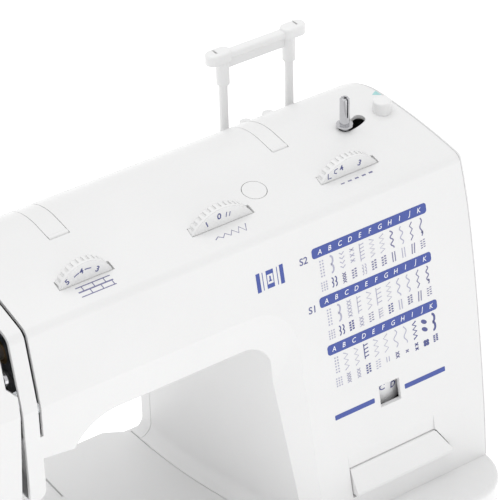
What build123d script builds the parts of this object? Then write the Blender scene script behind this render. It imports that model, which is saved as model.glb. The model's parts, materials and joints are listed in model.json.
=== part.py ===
from build123d import *
import os
from math import atan2, cos, degrees, hypot, pi, radians, sin, tan

# Domestic zigzag sewing machine with a free arm. Millimetres.
# X runs to the handwheel, Y to the rear, Z up; the origin is the bottom centre.

# ---- driving dimensions: casing ----
LEFT_END = -182.0
FRONT_EDGE = -95.0
BED_TOP = 75.0
BED_REAR = 88.0
TABLE_REAR = 95.0                 # the bed is deeper behind the free arm
WALL = 2.5
SEAM = 0.3
LEAN = 12.0                       # backward lean of the front face, degrees
FRONT_FOOT_Y = -65.0              # front face where it meets the bed
CREASE_Z = 272.0                  # crease between the front face and the top
BAND_Z = 227.0                    # crease above the upright band of the arm
REAR_FACE_Y = 84.0
SPLIT_Y = 74.0                    # seam between front and rear covers
ARM_BOTTOM_Z = 205.5
HEAD_BOTTOM_Z = 163.0
HEAD_RIGHT_X = -117.0
STRIP_LEFT_X = -147.0             # right edge of the take-up slot
STRIP_RIGHT_X = -136.7            # left side of the tension threading slot
SLOT_A_WIDTH = 2.0
SLOT_A_END_Z = 207.0
SLOT_B_LEFT_X = -154.0
RIGHT_COVER_RIM = 4.0
TABLE_JOINT_X = -80.0
TABLE_TOP = 73.6
BASE_RIGHT_X = 155.0

# ---- driving dimensions: mechanism ----
MECH_Y = 26.0                     # common plane of needle, crank and main shaft
NEEDLE_X = -160.0
SHAFT_Z = 226.0
SHAFT_R = 5.0
LOWER_SHAFT_Z = 32.0
LOWER_SHAFT_R = 4.0
RUN = 0.05                        # radial running clearance
HOOK_R = 15.2
HOOK_Y = MECH_Y - HOOK_R - 1.8
HOOK_Z0 = 52.0
HOOK_Z1 = 68.0
BEVEL_R = 16.0
BEVEL_TEETH = 32
HOOK_TEETH = 16
CRANK_THROW = 14.0
TAKE_UP_X = -150.8
TAKE_UP_Y = 45.0
TAKE_UP_Z = 240.0
TAKE_UP_REACH = 66.0
PRESSER_Y = MECH_Y + 16.0
SOLE_Z = 76.4
LIFTER_Y = 77.0
LIFTER_Z = 190.0
BELT_X = 45.0
PULLEY_R = 12.0
SHEAVE_X = 134.0
SHEAVE_R = 22.0
MOTOR_Y = 40.0
MOTOR_Z = 110.0
MOTOR_PULLEY_R = 6.0
HANDWHEEL_R = 27.0
HANDWHEEL_X0 = 166.5
HANDWHEEL_X1 = 178.0
KNOB_END_X = 182.0
DRUM_X = 89.0
DRUM_Y = -12.0
DRUM_R = 33.2
DRUM_Z0 = 133.0
DRUM_Z1 = 152.0
SELECTOR_Z = 116.0
MITRE_R = 12.0
MITRE_TEETH = 24
WINDOW = (81.5, 96.5, 137.3, 151.2)
GUIDE_X = (68.3, 116.3)
GUIDE_Y = 90.0
GUIDE_TOP_Z = 322.0
SPOOL_X = (84.0, 100.6)
SPINDLE_X = 113.2
SPINDLE_Y = 28.8
SPINDLE_TOP_Z = 302.6
WINDER_PIVOT_Y = 60.0
WINDER_SWING = 24.0
HANDLE_ARMS = ((-87.7, -75.0), (63.6, 74.4))
HANDLE_GRIP_Y = 75.5
HANDLE_T = 4.6
HANDLE_PIVOT = (34.0, 280.3)

FEED_ROWS = (-165.5, -160.0, -154.5)
MAIN_BUSHES = (-128, 4, 86)
LOWER_BUSHES = (-126, 20)
SCREWS = ((-110, 252), (-20, 225), (40, 252), (134, 245), (40, 100), (134, 100))

# name: centre X, wheel centre Z, wheel radius
DIALS = {
    "tension_dial": (-87.0, 269.5, 18.0),
    "width_dial": (3.25, 262.7, 24.3),
    "length_dial": (91.9, 262.6, 24.0),
}
DIAL_Y0 = -5.4
DIAL_Y1 = 1.0


# ---- small helpers ----
def block(x0, x1, y0, y1, z0, z1):
    """Box between two corners."""
    return Pos((x0 + x1) / 2, (y0 + y1) / 2, (z0 + z1) / 2) * Box(x1 - x0, y1 - y0, z1 - z0)


def rod_x(x0, x1, y, z, r):
    return Pos((x0 + x1) / 2, y, z) * Rot(0, 90, 0) * Cylinder(r, x1 - x0)


def rod_y(y0, y1, x, z, r):
    return Pos(x, (y0 + y1) / 2, z) * Rot(90, 0, 0) * Cylinder(r, y1 - y0)


def rod_z(z0, z1, x, y, r):
    return Pos(x, y, (z0 + z1) / 2) * Cylinder(r, z1 - z0)


def face_of(*edges):
    """Planar face from a closed run of edges drawn in the XY plane."""
    return make_face(Curve() + list(edges))


def polygon(*points):
    return make_face(Polyline(*points, close=True))


def prism_x(face, x0, x1):
    """Extrudes a face drawn as (Y, Z) along X."""
    return Pos(x0, 0, 0) * extrude(Plane.YZ * face, x1 - x0)


def prism_y(face, y0, y1):
    """Extrudes a face drawn as (X, Z) along Y."""
    return Pos(0, y1, 0) * extrude(Plane.XZ * face, y1 - y0)


def prism_z(face, z0, z1):
    return Pos(0, 0, z0) * extrude(face, z1 - z0)


def link_face(y0, z0, y1, z1, r):
    """Round-ended bar between two points."""
    length = hypot(y1 - y0, z1 - z0)
    angle = degrees(atan2(z1 - z0, y1 - y0))
    bar = SlotCenterToCenter(length, 2 * r)
    return Pos((y0 + y1) / 2, (z0 + z1) / 2) * Rot(0, 0, angle) * bar


def gear_ring(teeth, radius, phase):
    """Points of a straight-flanked gear outline of the given pitch radius."""
    module = 2 * radius / teeth
    points = []
    for i in range(teeth):
        for share, height in ((-0.36, -1.45), (-0.17, 0.7), (0.17, 0.7), (0.36, -1.45)):
            a = 2 * pi * (i + phase + share * 0.88) / teeth
            r = radius + height * module
            points.append((r * cos(a), r * sin(a)))
    return points


def bevel_gear_solid(teeth, radius, apex_distance, face_width, phase):
    """Bevel gear about +Z with its cone's apex at the origin and its large end up."""
    scale_small = 1 - face_width / hypot(radius, apex_distance)
    outline = gear_ring(teeth, radius, phase)
    small = [(x * scale_small, y * scale_small) for x, y in outline]
    return loft([
        Pos(0, 0, apex_distance * scale_small) * polygon(*small),
        Pos(0, 0, apex_distance) * polygon(*outline),
    ], ruled=True)


# ---- casing form ----
def front_y(z):
    """Y of the leaning front face at a height."""
    return FRONT_FOOT_Y + (z - BED_TOP) * tan(radians(LEAN))


def side_face(inset):
    """Cross-section of arm and column, drawn as (Y, Z)."""
    crease = (front_y(CREASE_Z), CREASE_Z)
    start = Vector(cos(radians(13)), sin(radians(13)))
    rise = TangentArc(crease, (46.0, 283.7), tangent=start)
    fall = TangentArc((46.0, 283.7), (77.5, 275.6), tangent=rise % 1)
    corner = TangentArc((77.5, 275.6), (REAR_FACE_Y, 265.0), tangent=fall % 1)
    face = face_of(
        Line((FRONT_FOOT_Y, BED_TOP), crease), rise, fall, corner,
        Line((REAR_FACE_Y, 265.0), (REAR_FACE_Y, BED_TOP)),
        Line((REAR_FACE_Y, BED_TOP), (FRONT_FOOT_Y, BED_TOP)),
    )
    near = [v for v in face.vertices() if abs(v.Y - CREASE_Z) < 0.1]
    face = fillet(near, 7)
    return offset(face, -inset, kind=Kind.INTERSECTION) if inset else face


def end_solid(inset):
    """Bounds the casing at both ends; the right end bulges in plan and in height."""
    sections = []
    for z, x in ((60, 154.5), (130, 161.0), (190, 163.8), (250, 164.2), (300, 158.5)):
        right = x - inset
        left = LEFT_END + inset
        arc = ThreePointArc((right, -100), (right - 2.6, 20), (right - 13.5, 100))
        sections.append(Pos(0, 0, z) * face_of(
            Line((left, -100), (right, -100)), arc,
            Line((right - 13.5, 100), (left, 100)), Line((left, 100), (left, -100))))
    return loft(sections)


def undercut(inset):
    """The space under the arm: throat, and what is below the head."""
    curve = Spline((26, -110), (21.5, -65), (10, -15), (1, 27), (-3, 60), (-4.5, 110))
    plan = face_of(
        curve, Line((-4.5, 110), (-230, 110)), Line((-230, 110), (-230, -110)),
        Line((-230, -110), (26, -110)))
    wedge = Pos(inset, 0, 0) * prism_z(plan, BED_TOP - inset, ARM_BOTTOM_Z + inset)
    upper = [e for e in wedge.edges() if e.center().X > -60 and e.geom_type != GeomType.LINE]
    wedge = fillet([e for e in upper if e.center().Z > 150], 18 + inset)
    lower = [e for e in wedge.edges() if e.center().X > -60 and abs(e.center().Z - BED_TOP + inset) < 1
             and e.geom_type != GeomType.LINE]
    wedge = fillet(lower, 9)
    arch = ThreePointArc((HEAD_RIGHT_X, 189), (-108, 198.7), (-88, ARM_BOTTOM_Z))
    below = face_of(
        Line((-230, 0), (-230, HEAD_BOTTOM_Z)),
        Line((-230, HEAD_BOTTOM_Z), (STRIP_RIGHT_X, HEAD_BOTTOM_Z)),
        Line((STRIP_RIGHT_X, HEAD_BOTTOM_Z), (STRIP_RIGHT_X, 191.5)),
        Line((STRIP_RIGHT_X, 191.5), (HEAD_RIGHT_X, 189)), arch,
        Line((-88, ARM_BOTTOM_Z), (120, ARM_BOTTOM_Z)),
        Line((120, ARM_BOTTOM_Z), (120, 0)), Line((120, 0), (-230, 0)))
    corner = [v for v in below.vertices() if abs(v.X - STRIP_RIGHT_X) < 0.1 and v.Y < 170]
    below = fillet(corner, 7)
    if inset:
        below = offset(below, inset, kind=Kind.INTERSECTION)
    return wedge & prism_y(below, -120, 120)


def band_cutter():
    """Cuts the upright band along the arm's lower edge and down the column's left edge."""
    depth = 4.7
    band_top = BAND_Z - ARM_BOTTOM_Z
    band_side = 9.0
    front = Plane(origin=(0, front_y(ARM_BOTTOM_Z), ARM_BOTTOM_Z), x_dir=(1, 0, 0),
                  z_dir=(0, cos(radians(LEAN)), -sin(radians(LEAN))))
    sections = []
    for d in (-3.0, 15.0):
        share = 1 - d / depth
        top = -band_top * share
        side = 22.0 + band_side * share
        radius = max(17 + 10 * share, 3)
        outline = polygon((-260, 150), (-260, top), (side, top), (side, 150))
        corner = [v for v in outline.vertices() if abs(v.X - side) < 0.1 and abs(v.Y - top) < 0.1]
        sections.append(front * Pos(0, 0, d) * fillet(corner, radius))
    return loft(sections, ruled=True)


def casing(inset):
    """The whole upper casing as one solid, shrunk by an inset."""
    body = prism_x(side_face(inset), -200, 200) & end_solid(inset)
    if inset == 0:
        left = [e for e in body.edges() if abs(e.center().X - LEFT_END) < 0.5 and e.center().Z > BED_TOP + 1]
        body = fillet(left, 8)
        right = [e for e in body.edges() if e.center().X > 140 and e.center().Z > BED_TOP + 1]
        body = fillet(right, 6)
    body -= Pos(0, inset, 0) * band_cutter()
    return body - undercut(inset)


def arm_layer(inset):
    """Long prism of the cross-section, for strips that follow the top surface."""
    return prism_x(side_face(inset), -180, 150)


# ---- casing pieces ----
def face_region():
    """Everything left of the take-up slot, and the seam behind it."""
    front = polygon((-230, 100), (-152.5, 100), (-152.5, HEAD_BOTTOM_Z), (-148, 238),
                    (SLOT_B_LEFT_X, 245), (SLOT_B_LEFT_X, 320), (-230, 320))
    rear_edge = STRIP_LEFT_X - SEAM
    return prism_y(front, -120, 16) + block(-230, rear_edge, 16, SPLIT_Y - SEAM, 100, 320)


def handle_region(grow):
    """Plan of the carrying handle, grown by a clearance."""
    zones = block(HANDLE_ARMS[0][0] - grow, HANDLE_ARMS[1][1] + grow,
                  HANDLE_GRIP_Y - grow, 90, 262 - grow, 300)
    for x0, x1 in HANDLE_ARMS:
        front = HANDLE_PIVOT[0] - 2.4 - grow
        zones += block(x0 - grow, x1 + grow, front, 90, 262 - grow, 300)
    return zones


def add_handle_trough(shell, side):
    """Backs the handle's recess with a floor, then cuts the recess and pivot bores."""
    floor = (arm_layer(WALL / 2) - arm_layer(HANDLE_T + 2.8)) & handle_region(2.6) & side
    shell += floor
    shell -= handle_region(0.3) - arm_layer(HANDLE_T + 0.5)
    for x0, x1 in HANDLE_ARMS:
        shell -= rod_x(x0 - 2.2, x1 + 2.2, *HANDLE_PIVOT, 1.5 + RUN)
    return shell


def dial_half_chord(name):
    """Half the width of a dial where it comes through the top."""
    x, z, r = DIALS[name]
    return (r * r - (276.6 - z) ** 2) ** 0.5


def winder_slot():
    arc = CenterArc((SPINDLE_X, WINDER_PIVOT_Y), WINDER_PIVOT_Y - SPINDLE_Y, -90, WINDER_SWING)
    return prism_z(SlotArc(arc, 7.4), 270, 300)


def lever_pocket():
    """Hollow around the reverse lever, with a shallow dish above it."""
    outline = polygon((53.4, 88), (126.9, 88), (126.9, 93.9), (118.6, 107), (53.4, 107))
    slot = prism_y(outline, -90, -55.5) + block(53.4, 118.6, -60, -40, 87.5, 107)
    slot += block(53.4, 118.6, -53.5, -38, 100, 116)
    dish = polygon((front_y(120) - 0.3, 120), (front_y(107) + 1.2, 107), (front_y(107) - 8, 107))
    return slot + prism_x(dish, 53.4, 118)


def front_cover(outer, inner):
    side = block(-230, 230, -120, SPLIT_Y, 0, 400)
    shell = (outer - inner) & end_solid(RIGHT_COVER_RIM + SEAM) & side
    shell -= face_region() + block(-230, STRIP_LEFT_X, -120, 16, 0, 400)
    shell += (inner - casing(9.0)) & block(46, 134, -90, -40, 82, 127)
    shell -= lever_pocket()
    shell = add_handle_trough(shell, side)
    slot_x = STRIP_RIGHT_X - 1.0
    shell -= block(slot_x, slot_x + SLOT_A_WIDTH, -60, 8, SLOT_A_END_Z, 300)
    shell -= block(-176, -139.5, 10, 56, 155, 168)
    for name, (x, z, r) in DIALS.items():
        half = dial_half_chord(name)
        shell -= block(x - half - SEAM, x + half + 1.6, DIAL_Y0 - SEAM, DIAL_Y1 + SEAM, 262, 300)
        shell -= rod_y(DIAL_Y0 - SEAM, DIAL_Y1 + SEAM, x, z, r + SEAM)
    shell -= rod_z(270, 300, 35.0, 9.7, 7.6)
    shell -= winder_slot()
    x0, x1, z0, z1 = WINDOW
    shell -= block(x0, x1, -80, -30, z0, z1)
    shell -= block(-132.7, -121.8, -10.2, 14.2, 185, 200)
    shell -= block(30, 146, -48, 80, 70, 80)
    return shell


def rear_cover(outer, inner):
    side = block(-230, 230, SPLIT_Y + SEAM, 200, 0, 400)
    shell = (outer - inner) & end_solid(RIGHT_COVER_RIM + SEAM) & side
    shell = add_handle_trough(shell, side)
    shell -= block(-164.5, -155.5, 80, 90, 175.5, 213)
    bracket = block(58.5, 126, REAR_FACE_Y, 95, 222, 262)
    bracket = fillet(bracket.edges().filter_by(Axis.Z).group_by(Axis.Y)[-1], 4)
    shell += bracket
    for x in GUIDE_X:
        shell -= rod_z(220, 264, x, GUIDE_Y, 2.8 + RUN)
    for x in SPOOL_X:
        shell -= rod_z(220, 264, x, GUIDE_Y, 2.5 + RUN)
    for x, z in SCREWS:
        shell -= rod_y(80, 90, x, z, 3.5)
    for i in range(9):
        x = 52 + 8 * i
        shell -= block(x, x + 3, 80, 90, 90, 128)
    shell -= block(30, 146, -48, 80, 70, 80)
    return shell


def right_cover(outer, inner):
    shell = ((outer - inner) - end_solid(RIGHT_COVER_RIM)) & block(100, 230, -120, 120, 0, 400)
    shell -= rod_x(140, 185, MECH_Y, SHAFT_Z, 9.0)
    shell -= rod_x(140, 180, DRUM_Y, SELECTOR_Z, 4.6)
    return shell


def face_cover(outer, inner):
    shell = (outer - inner) & face_region()
    return shell - block(-176, -139.5, 10, 56, 155, 168)


def base_plan(inset, left):
    """Footprint of the bed right of a given X."""
    arc_r = 30 - inset
    plan = polygon((left, FRONT_EDGE + inset), (BASE_RIGHT_X - inset, FRONT_EDGE + inset),
                   (BASE_RIGHT_X - inset, BED_REAR - inset), (-16, BED_REAR - inset),
                   (-28, TABLE_REAR - inset), (left, TABLE_REAR - inset))
    right = [v for v in plan.vertices() if v.X > 100]
    front = [v for v in right if v.Y < 0]
    plan = fillet(front, arc_r)
    rear = [v for v in plan.vertices() if v.X > 100 and v.Y > 50]
    return fillet(rear, 14 - inset)


def bed_casing():
    solid = prism_z(base_plan(0, TABLE_JOINT_X), 4, BED_TOP)
    top = [e for e in solid.edges() if abs(e.center().Z - BED_TOP) < 0.01]
    rim = [e for e in top if e.center().X > TABLE_JOINT_X + 1]
    solid = fillet(rim, 3)
    solid -= prism_z(base_plan(WALL, TABLE_JOINT_X + WALL), 0, BED_TOP - WALL)
    solid -= block(30, 146, -48, 80, 70, 80)
    solid -= block(-90, -75, -16.4, 52.4, 14.1, 72.4)
    solid -= block(150, 160, 39.8, 64.2, 17.8, 38.2)
    return solid - block(150, 160, 7.5, 26.5, 20.5, 39.5)


def free_arm_cover():
    solid = block(-178, TABLE_JOINT_X, -19, 55, 11.5, BED_TOP)
    ends = [e for e in solid.edges().filter_by(Axis.Z) if e.center().X < -170]
    solid = fillet(ends, 8)
    hollow = block(-175.5, -70, -16.5, 52.5, 14, BED_TOP - WALL)
    hollow = fillet([e for e in hollow.edges().filter_by(Axis.Z) if e.center().X < -170], 6)
    solid -= hollow
    solid -= block(-180, -134, -20, 56, BED_TOP - 2, BED_TOP + 1)
    return solid - block(-172, -139, -14, 50, 70, 80)


def extension_table():
    plan = polygon((LEFT_END, FRONT_EDGE), (TABLE_JOINT_X - SEAM, FRONT_EDGE),
                   (TABLE_JOINT_X - SEAM, TABLE_REAR), (LEFT_END, TABLE_REAR))
    plan = fillet([v for v in plan.vertices() if v.X < -150], 14)
    solid = prism_z(plan, 0.5, TABLE_TOP)
    top = [e for e in solid.edges() if abs(e.center().Z - TABLE_TOP) < 0.01]
    rim = [e for e in top if e.center().X < TABLE_JOINT_X - 1]
    solid = fillet(rim, 3)
    solid -= block(-178.4, -70, -19.4, 55.4, 11, 90)
    solid -= block(-172, -70, -91, -23, 5, TABLE_TOP - WALL)
    return solid - block(-172, -70, 59, 91, 5, TABLE_TOP - WALL)


def needle_plate():
    plate = block(-177.6, -134.2, -18.8, 54.8, BED_TOP - 2, BED_TOP)
    left = [e for e in plate.edges().filter_by(Axis.Z) if e.center().X < -170]
    plate = fillet(left, 7)
    plate -= block(-176, -144, -20, 21, 60, 90)
    plate -= Pos(NEEDLE_X, MECH_Y, 74) * extrude(SlotOverall(11, 2.4), 2, both=True)
    for x in FEED_ROWS:
        plate -= block(x - 1.6, x + 1.6, 26.6, 47.4, 60, 90)
    for y in (20.0, 50.0):
        plate -= rod_z(70, 80, -140, y, 1.6)
    return plate


def feed_dog():
    dog = block(-167, -153, 29, 45, 67, 70)
    count = 9
    pitch = 14.0 / count
    for x in FEED_ROWS:
        points = [(30, 69), (44, 69), (44, 73.4)]
        for i in range(count):
            y = 44 - i * pitch
            points += [(y - 0.2, 74.4), (y - pitch, 73.4)]
        dog += prism_x(polygon(*points), x - 1.0, x + 1.0)
    return dog


def feed_bar():
    return block(-165, -62, 34, 40, 50, 58) + block(-164, -156, 33, 41, 58, 66.9)


def bobbin_cover():
    lid = block(-175.7, -144.3, -18.8, 20.7, 73.8, BED_TOP)
    return lid - Pos(-160, -14, 75.0) * Cylinder(5, 1.0)


# ---- stitch mechanism ----
def hook():
    cup = rod_z(HOOK_Z0, HOOK_Z1, NEEDLE_X, HOOK_Y, HOOK_R)
    cup -= rod_z(HOOK_Z0 + 2, HOOK_Z1 + 1, NEEDLE_X, HOOK_Y, 13.6)
    cup -= Pos(NEEDLE_X, HOOK_Y, 0) * Rot(0, 0, 40) * block(8, 30, -6, 6, 60, 80)
    gear = Pos(NEEDLE_X, HOOK_Y, LOWER_SHAFT_Z) * bevel_gear_solid(
        HOOK_TEETH, BEVEL_R / 2, BEVEL_R, 6, 0.0)
    neck = rod_z(LOWER_SHAFT_Z + BEVEL_R, HOOK_Z0, NEEDLE_X, HOOK_Y, 6)
    return cup + gear + neck + rod_z(20.5, HOOK_Z0, NEEDLE_X, HOOK_Y, 3)


def bobbin_case():
    cup = rod_z(54.3, 67.5, NEEDLE_X, HOOK_Y, 13.2) - rod_z(56, 70, NEEDLE_X, HOOK_Y, 11.0)
    stop = block(NEEDLE_X - 14.5, NEEDLE_X - 11.1, HOOK_Y - 3, HOOK_Y + 3, 65, 69.8)
    stop &= rod_z(60, 70, NEEDLE_X, HOOK_Y, 13.2)
    return cup + stop + block(NEEDLE_X - 15.5, NEEDLE_X - 12, HOOK_Y - 2.5, HOOK_Y + 2.5, 68.4, 69.8)


def bobbin():
    z0, z1 = 56.3, 67.3
    spool = rod_z(z0, z1, NEEDLE_X, HOOK_Y, 4.5)
    for z in (z0, z1 - 1.2):
        spool += rod_z(z, z + 1.2, NEEDLE_X, HOOK_Y, 10.3)
    spool -= rod_z(z0 - 1, z1 + 1, NEEDLE_X, HOOK_Y, 3)
    for i in range(6):
        hole = Rot(0, 0, 60 * i) * Pos(7.3, 0, 0) * Cylinder(1.2, 100)
        spool -= Pos(NEEDLE_X, HOOK_Y, 60) * hole
    return spool


def bevel_gear():
    gear = bevel_gear_solid(BEVEL_TEETH, BEVEL_R, BEVEL_R / 2, 6, 0.5)
    gear = Pos(NEEDLE_X, HOOK_Y, LOWER_SHAFT_Z) * Rot(0, 90, 0) * gear
    end = NEEDLE_X + BEVEL_R / 2
    gear += rod_x(end, end + 8, HOOK_Y, LOWER_SHAFT_Z, 9)
    return gear - rod_x(-170, -130, HOOK_Y, LOWER_SHAFT_Z, LOWER_SHAFT_R)


def belt_pulley(y, z, shaft_r):
    pulley = rod_x(BELT_X - 7, BELT_X + 7, y, z, PULLEY_R)
    for i in range(20):
        groove = Rot(18 * i, 0, 0) * Pos(0, 0, PULLEY_R) * Box(20, 1.6, 1.6)
        pulley -= Pos(BELT_X, y, z) * groove
    for side in (-7, 5):
        pulley += rod_x(BELT_X + side, BELT_X + side + 2, y, z, PULLEY_R + 3)
    return pulley - rod_x(BELT_X - 20, BELT_X + 20, y, z, shaft_r)


def hull_face(y0, z0, r0, y1, z1, r1):
    a = Pos(y0, z0) * Circle(r0)
    b = Pos(y1, z1) * Circle(r1)
    return make_hull(a.edges() + b.edges())


def drive_belts():
    ends = (HOOK_Y, LOWER_SHAFT_Z)
    toothed = hull_face(MECH_Y, SHAFT_Z, PULLEY_R + 2.2, *ends, PULLEY_R + 2.2)
    toothed -= hull_face(MECH_Y, SHAFT_Z, PULLEY_R + 0.3, *ends, PULLEY_R + 0.3)
    drive = hull_face(MECH_Y, SHAFT_Z, SHEAVE_R + 2.5, MOTOR_Y, MOTOR_Z, MOTOR_PULLEY_R + 2.5)
    drive -= hull_face(MECH_Y, SHAFT_Z, SHEAVE_R + 0.3, MOTOR_Y, MOTOR_Z, MOTOR_PULLEY_R + 0.3)
    return prism_x(toothed, BELT_X - 4, BELT_X + 4) + prism_x(drive, SHEAVE_X + 1.5, SHEAVE_X + 6.5)


def sheave(y, z, r):
    wheel = rod_x(SHEAVE_X, SHEAVE_X + 8, y, z, r)
    for x in (SHEAVE_X - 1.2, SHEAVE_X + 7.6):
        wheel += rod_x(x, x + 1.6, y, z, r + 3)
    return wheel


def handwheel():
    wheel = rod_x(HANDWHEEL_X0, HANDWHEEL_X1, MECH_Y, SHAFT_Z, HANDWHEEL_R)
    rims = [e for e in wheel.edges() if e.geom_type == GeomType.CIRCLE]
    wheel = fillet(rims, 2.5)
    for i in range(28):
        flute = Rot(360 / 28 * i, 0, 0) * Pos(0, 0, HANDWHEEL_R + 0.6) * Rot(0, 90, 0) * Cylinder(1.4, 8)
        wheel -= Pos((HANDWHEEL_X0 + HANDWHEEL_X1) / 2, MECH_Y, SHAFT_Z) * flute
    wheel -= rod_x(173, 180, MECH_Y, SHAFT_Z, 16)
    wheel += rod_x(SHEAVE_X, HANDWHEEL_X0 + 1, MECH_Y, SHAFT_Z, 8.5)
    wheel += sheave(MECH_Y, SHAFT_Z, SHEAVE_R)
    return wheel - rod_x(100, 190, MECH_Y, SHAFT_Z, SHAFT_R)


def clutch_knob():
    knob = rod_x(173.3, KNOB_END_X, MECH_Y, SHAFT_Z, 14)
    knob = fillet(knob.edges().filter_by(GeomType.CIRCLE).group_by(Axis.X)[-1], 2)
    for i in range(18):
        flute = Rot(20 * i, 0, 0) * Pos(0, 0, 14.4) * Rot(0, 90, 0) * Cylinder(1.0, 30)
        knob -= Pos(178, MECH_Y, SHAFT_Z) * flute
    return knob - rod_x(170, 180.1, MECH_Y, SHAFT_Z, SHAFT_R + RUN)


def main_shaft():
    return rod_x(-143, 179.6, MECH_Y, SHAFT_Z, SHAFT_R)


def crank():
    disc = rod_x(-143.6, -137, MECH_Y, SHAFT_Z, 17)
    for y in (-9, 9):
        disc -= rod_x(-150, -130, MECH_Y + y, SHAFT_Z + 7, 5)
    disc -= rod_x(-143, -130, MECH_Y, SHAFT_Z, SHAFT_R)
    return disc + rod_x(-145.2, -143, MECH_Y, SHAFT_Z - CRANK_THROW, 3)


def motor_housing():
    can = rod_x(62, 118, MOTOR_Y, MOTOR_Z, 22)
    can = fillet(can.edges().filter_by(GeomType.CIRCLE), 3)
    for i in range(12):
        slot = Rot(30 * i, 0, 0) * Pos(0, 0, 22) * Box(30, 3, 3)
        can -= Pos(88, MOTOR_Y, MOTOR_Z) * slot
    can += block(74, 104, MOTOR_Y + 15, 66, MOTOR_Z - 14, MOTOR_Z + 14)
    can += rod_x(118, 121, MOTOR_Y, MOTOR_Z, 8)
    return can - rod_x(102, 122, MOTOR_Y, MOTOR_Z, 3 + RUN)


def motor_pulley():
    return rod_x(104, 144, MOTOR_Y, MOTOR_Z, 3) + sheave(MOTOR_Y, MOTOR_Z, MOTOR_PULLEY_R)


def shaft_bushes():
    bushes = []
    for x in MAIN_BUSHES:
        hole = rod_x(x - 1, x + 9, MECH_Y, SHAFT_Z, SHAFT_R + RUN)
        bushes.append(rod_x(x, x + 8, MECH_Y, SHAFT_Z, 8) - hole)
    for x in LOWER_BUSHES:
        hole = rod_x(x - 1, x + 9, HOOK_Y, LOWER_SHAFT_Z, LOWER_SHAFT_R + RUN)
        bushes.append(rod_x(x, x + 8, HOOK_Y, LOWER_SHAFT_Z, 7) - hole)
    return Compound(bushes)


def arm_frame():
    frame = block(-176, 112, 66, 71, 214, 266) + block(32, 128, 66, 71, 20, 214)
    frame += block(-172, -148, 66, 71, 168, 214)
    for x in MAIN_BUSHES:
        frame += block(x, x + 8, 12, 71, 214, 242)
    frame += block(-128, -120, 36, 71, 230, 250)
    for x in MAIN_BUSHES:
        frame -= rod_x(x - 1, x + 9, MECH_Y, SHAFT_Z, 8)
    frame += rod_x(-152.4, -127, TAKE_UP_Y, TAKE_UP_Z, 3)
    frame += rod_y(33, 67, NEEDLE_X, 262, 3)
    for z0 in (168, 214):
        frame += block(-168, -152, 36.7, 67, z0, z0 + 8)
    frame -= rod_z(150, 240, NEEDLE_X, PRESSER_Y, 3.5 + RUN)
    for x in (-167, -156.6):
        frame += block(x, x + 3.6, 70, 80.5, 184, 196)
    frame += rod_x(-167, -153, LIFTER_Y, LIFTER_Z, 2)
    for name, (x, z, r) in DIALS.items():
        frame += rod_y(-3, 54, x, z, 2.5)
        frame += block(x - 5, x + 5, 48, 71, z - 9, z - 1)
    frame += block(102, 118, 50, 71, 236, 246)
    frame -= rod_z(230, 250, SPINDLE_X, WINDER_PIVOT_Y, 3 + RUN)
    frame += block(DRUM_X - 6, DRUM_X + 6, DRUM_Y - 6, 67, DRUM_Z1 + 2, DRUM_Z1 + 8)
    return frame + rod_z(126, DRUM_Z1 + 4, DRUM_X, DRUM_Y, 2.5)


def bed_frame():
    frame = block(-172, 128, -13, 50, 17, 20) + block(20, 128, 48, 71, 17, 20)
    frame -= block(-156, -141, HOOK_Y - 18.5, HOOK_Y + 18.5, 10, 30)
    frame -= block(BELT_X - 8.5, BELT_X + 8.5, HOOK_Y - 17, HOOK_Y + 17, 10, 30)
    frame += rod_z(17, 27.5, NEEDLE_X, HOOK_Y, 7) & block(-170, -156, -20, 50, 10, 30)
    for x in LOWER_BUSHES:
        frame += block(x, x + 8, HOOK_Y - 12, HOOK_Y + 12, 18, 42)
        frame -= rod_x(x - 1, x + 9, HOOK_Y, LOWER_SHAFT_Z, 7)
    frame -= rod_z(20, 40, NEEDLE_X, HOOK_Y, 3 + RUN)
    frame += block(119, 125, DRUM_Y - 7, DRUM_Y + 7, 18, SELECTOR_Z + 7)
    frame += block(119, 125, -13, DRUM_Y + 7, 18, 24)
    frame -= rod_x(110, 130, DRUM_Y, SELECTOR_Z, 4 + RUN)
    frame += block(119, 128, -19, -12, 17, 20)
    for x in (28, 110):
        for y in (0, 60):
            frame += block(x, x + 8, y, y + 8, 6.5, 18)
    return frame


def needle_bar():
    return rod_z(88, 236, NEEDLE_X, MECH_Y, 3.2) + rod_x(NEEDLE_X, -147, MECH_Y, 178, 3)


def needle_clamp():
    clamp = rod_z(86, 97, NEEDLE_X, MECH_Y, 6.2) - rod_z(88, 99, NEEDLE_X, MECH_Y, 3.2)
    clamp -= rod_z(80, 90, NEEDLE_X, MECH_Y, 1.0)
    return clamp + rod_x(-154.2, -150, MECH_Y, 91, 1.6) + rod_x(-151, -145.5, MECH_Y, 91, 3.6)


def needle():
    shank = rod_z(74, 88, NEEDLE_X, MECH_Y, 1.0)
    blade = rod_z(63, 74, NEEDLE_X, MECH_Y, 0.5)
    return shank + blade + Pos(NEEDLE_X, MECH_Y, 61.5) * Cone(0.1, 0.5, 3)


def connecting_rod():
    rod = prism_x(link_face(MECH_Y, 178, MECH_Y, SHAFT_Z - CRANK_THROW, 6), -149, -147)
    rod -= rod_x(-150, -146, MECH_Y, 178, 3)
    return rod - rod_x(-150, -146, MECH_Y, SHAFT_Z - CRANK_THROW, 3.2)


def needle_bar_frame():
    frame = block(-165, -155, 31, 34.5, 164, 262)
    for z0, z1 in ((164, 172), (222, 232)):
        frame += block(-166, -154, 20, 34.5, z0, z1)
    frame += rod_y(31, 46, NEEDLE_X, 262, 6)
    frame -= rod_z(150, 240, NEEDLE_X, MECH_Y, 3.2 + RUN)
    return frame - rod_y(30, 50, NEEDLE_X, 262, 3 + RUN)


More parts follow.
